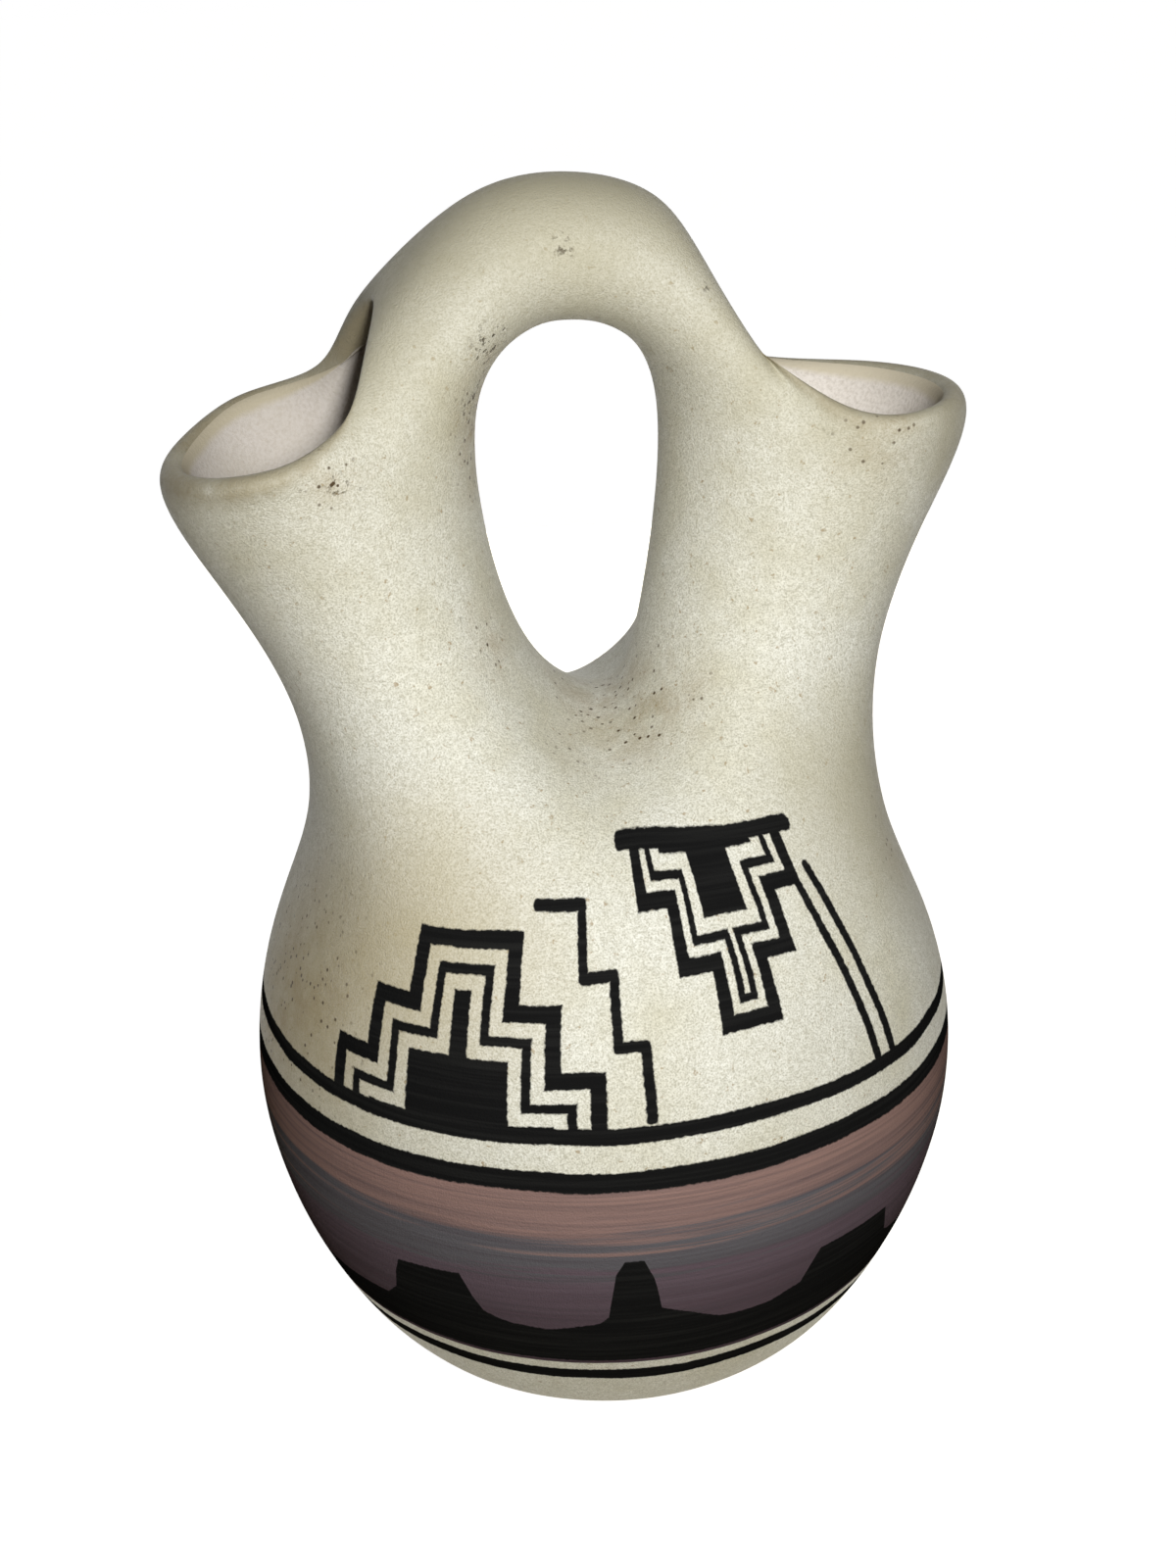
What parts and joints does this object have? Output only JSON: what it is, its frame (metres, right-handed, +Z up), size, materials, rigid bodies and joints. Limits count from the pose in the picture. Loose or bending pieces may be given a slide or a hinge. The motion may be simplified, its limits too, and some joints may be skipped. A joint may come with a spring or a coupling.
{
  "type": "wedding vase",
  "caption": "Round-bellied pottery vase forking into paired flared spouts joined by an arched bridge handle; holds liquid or stems and is lifted by the loop.",
  "frame": {"origin": "middle of the foot's flat underside", "axes": "+Z up from the foot to the handle, +X from the left spout to the right spout, -Y towards the painted front"},
  "size_m": [0.1229, 0.1172, 0.1901],
  "materials": {
    "slip": "satin"
  },
  "bodies": {
    "root": {"foot_slab": "slip", "belly_bowl": "slip", "shoulder_ring": "slip", "left_spout": "slip", "right_spout": "slip", "bridge_handle": "slip"}
  },
  "joints": []
}
